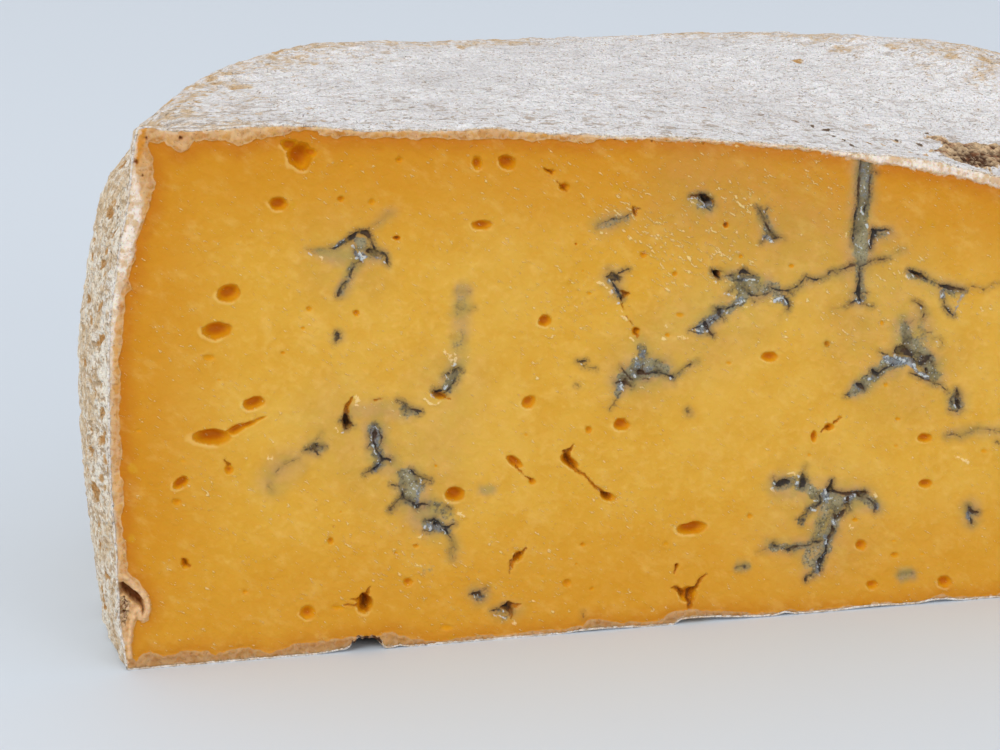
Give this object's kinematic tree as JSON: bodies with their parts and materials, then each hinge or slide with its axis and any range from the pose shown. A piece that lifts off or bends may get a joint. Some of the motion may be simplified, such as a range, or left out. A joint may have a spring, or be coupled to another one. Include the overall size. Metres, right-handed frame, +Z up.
{
  "type": "half wheel of blue cheese",
  "caption": "Half wheel of orange blue-veined cheese with a pale bloomy rind, cut side to the front, resting on its flat base.",
  "frame": {"origin": "middle of the piece's bounding box, on the surface that it stands on", "axes": "+X along the cut face to the right as seen from in front, the cut face looks along -Y, +Z up"},
  "size_m": [0.2094, 0.1228, 0.088],
  "materials": {
    "paste": null
  },
  "bodies": {
    "root": {"cheese": "paste"}
  },
  "joints": []
}
